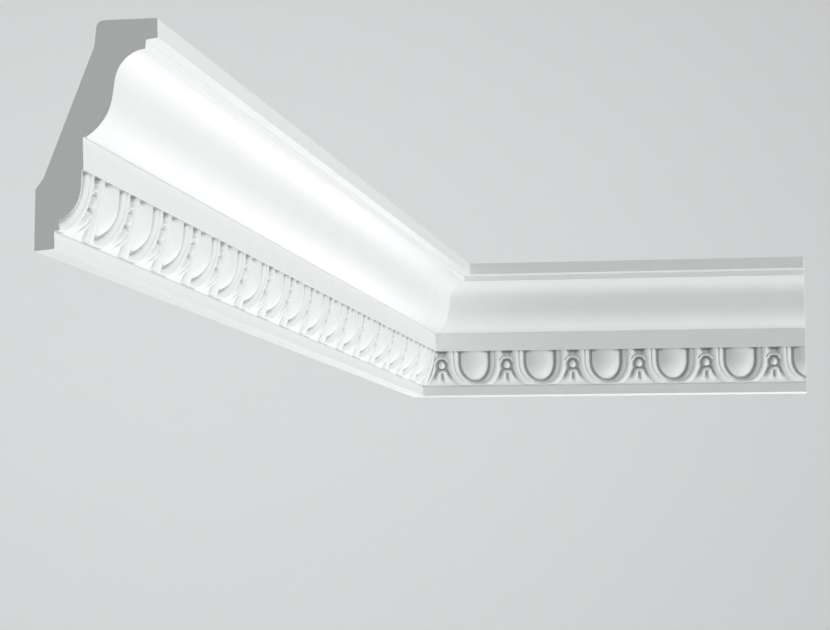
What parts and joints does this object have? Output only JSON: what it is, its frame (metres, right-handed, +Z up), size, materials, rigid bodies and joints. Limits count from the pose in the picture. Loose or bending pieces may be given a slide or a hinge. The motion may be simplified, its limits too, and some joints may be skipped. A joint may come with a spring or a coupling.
{
  "type": "cornice moulding",
  "caption": "Egg-and-dart cornice moulding with an ogee above, turned round an inside wall corner in a mitre and cut square at both free ends.",
  "frame": {"origin": "middle of the side length's ceiling bearing face, 40 mm out from the side wall", "axes": "+Z up to the ceiling, +Y along the side length towards the back wall, +X along the back length away from the side wall"},
  "size_m": [0.2976, 0.854, 0.0963],
  "materials": {
    "side_length_primer": "matt white primer on cast foam",
    "back_length_primer": "matt white primer on cast foam"
  },
  "bodies": {
    "root": {"side_wall_length": "side_length_primer", "back_wall_length": "back_length_primer"}
  },
  "joints": []
}
